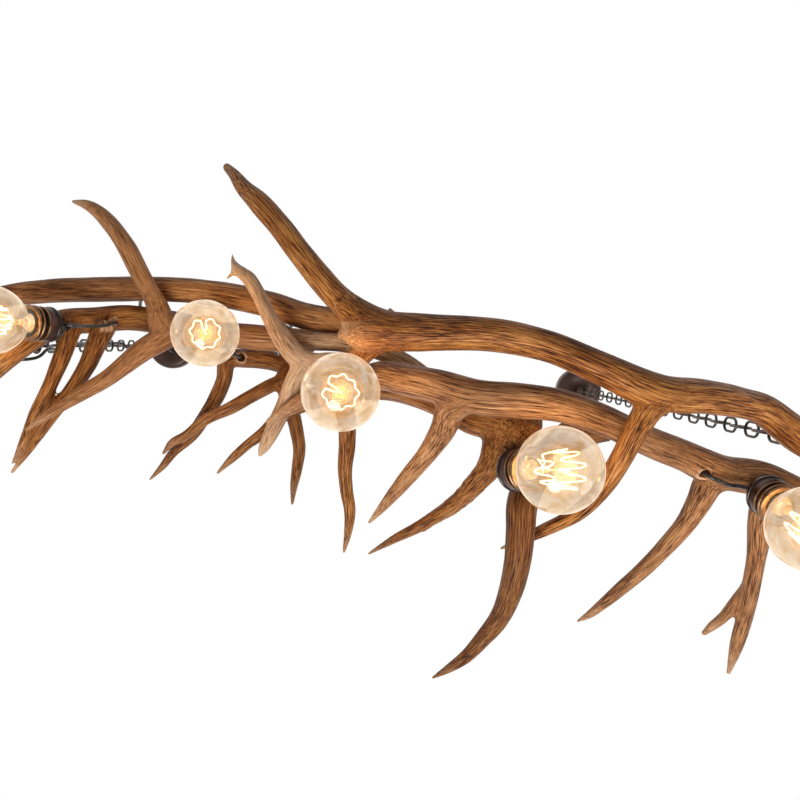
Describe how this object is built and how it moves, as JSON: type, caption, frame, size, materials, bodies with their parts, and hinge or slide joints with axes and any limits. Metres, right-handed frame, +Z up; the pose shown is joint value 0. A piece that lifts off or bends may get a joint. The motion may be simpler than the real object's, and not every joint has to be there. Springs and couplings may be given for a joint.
{
  "type": "antler chandelier",
  "caption": "Long row chandelier of joined brown antlers hung on two chains from round ceiling canopies, with amber globe bulbs in copper-brown lampholders.",
  "frame": {"origin": "centre of the left ceiling bracket, on the ceiling", "axes": "+Z up, +X along the row towards the right ceiling bracket, -Y and +Y are the row's two long sides"},
  "size_m": [1.4043, 0.6635, 1.1425],
  "materials": {
    "brown_metal": "satin",
    "plain_steel": "satin",
    "dark_metal": "satin",
    "pale_plastic": "matte",
    "black_rubber": "matte",
    "black_cable": "satin",
    "antler_brown": "satin",
    "antler_pale": "satin",
    "copper_brown": "satin",
    "black_plastic": "matte",
    "amber_glass": "clear, tinted",
    "cap_metal": "satin",
    "hot_wire": "glowing"
  },
  "bodies": {
    "ceiling": {"canopy_left": "brown_metal", "canopy_right": "brown_metal", "ceiling_bracket_left": "plain_steel", "ceiling_bracket_right": "plain_steel", "hook_left": "dark_metal", "hook_right": "dark_metal", "hook_nuts": "plain_steel", "canopy_nuts": "brown_metal", "terminal_block": "pale_plastic", "cable_grommet": "black_rubber", "cable_top": "black_cable"},
    "hangers": {"top_link_left": "dark_metal", "top_link_right": "dark_metal"},
    "chain_left_body": {"chain_left": "dark_metal", "cable_chain": "black_cable"},
    "chain_right_body": {"chain_right": "dark_metal"},
    "fixture": {"antler_top_front": "antler_brown", "antler_middle_front": "antler_brown", "antler_pale_forked": "antler_pale", "antler_left_front": "antler_brown", "antler_back_long": "antler_brown", "antler_back_left": "antler_brown", "antler_left_lower": "antler_brown", "antler_burr_front": "antler_brown", "antler_thick_tine": "antler_brown", "antler_pale_burr": "antler_pale", "joining_screws": "plain_steel", "eye_screw_left": "dark_metal", "eye_screw_right": "dark_metal", "cable_bottom": "black_cable", "holder_caps": "copper_brown", "holder_inserts": "black_plastic", "shade_rings": "copper_brown", "lamp_nipples": "plain_steel", "lamp_leads": "black_cable", "lampholder_left": "copper_brown", "lampholder_back": "copper_brown", "lampholder_middle": "copper_brown", "lampholder_front": "copper_brown", "lampholder_right": "copper_brown"},
    "bulb_left": {"bulb_glass_left": "amber_glass", "bulb_cap_left": "cap_metal", "bulb_filament_left": "hot_wire"},
    "bulb_back": {"bulb_glass_back": "amber_glass", "bulb_cap_back": "cap_metal", "bulb_filament_back": "hot_wire"},
    "bulb_middle": {"bulb_glass_middle": "amber_glass", "bulb_cap_middle": "cap_metal", "bulb_filament_middle": "hot_wire"},
    "bulb_front": {"bulb_glass_front": "amber_glass", "bulb_cap_front": "cap_metal", "bulb_filament_front": "hot_wire"},
    "bulb_right": {"bulb_glass_right": "amber_glass", "bulb_cap_right": "cap_metal", "bulb_filament_right": "hot_wire"}
  },
  "joints": [
    {"name": "swing_across", "type": "hinge", "parent": "ceiling", "child": "hangers", "pos_m": [0, 0, -0.0623], "axis": [1, 0, 0], "range_deg": [-12, 12], "deforming": ["cable_top"]},
    {"name": "swing_along", "type": "hinge", "parent": "hangers", "child": "chain_left_body", "pos_m": [0, 0, -0.09135], "axis": [0, 1, 0], "range_deg": [-10, 10], "deforming": ["cable_top"]},
    {"name": "swing_along_right", "type": "hinge", "parent": "hangers", "child": "chain_right_body", "pos_m": [1.084, 0, -0.09135], "axis": [0, 1, 0], "range_deg": [-10, 10]},
    {"name": "level", "type": "hinge", "parent": "chain_left_body", "child": "fixture", "pos_m": [0, 0, -0.71195], "axis": [0, 1, 0], "range_deg": [-12, 12], "deforming": ["cable_bottom"]},
    {"name": "bulb_left_out", "type": "slide", "parent": "fixture", "child": "bulb_left", "axis": [-0.4572, 0.005, -0.8894], "range_m": [0, 0.03]},
    {"name": "bulb_back_out", "type": "slide", "parent": "fixture", "child": "bulb_back", "axis": [0.2421, -0.01, -0.9702], "range_m": [0, 0.03]},
    {"name": "bulb_middle_out", "type": "slide", "parent": "fixture", "child": "bulb_middle", "axis": [0.043, -0.075, -0.9963], "range_m": [0, 0.03]},
    {"name": "bulb_front_out", "type": "slide", "parent": "fixture", "child": "bulb_front", "axis": [0.298, -0.207, -0.9319], "range_m": [0, 0.03]},
    {"name": "bulb_right_out", "type": "slide", "parent": "fixture", "child": "bulb_right", "axis": [0, 0.2, -0.9798], "range_m": [0, 0.03]}
  ],
  "couplings": [
    {"joint": "swing_along_right", "follows": "swing_along", "ratio": 0.74377},
    {"joint": "level", "follows": "swing_along", "ratio": -1}
  ]
}
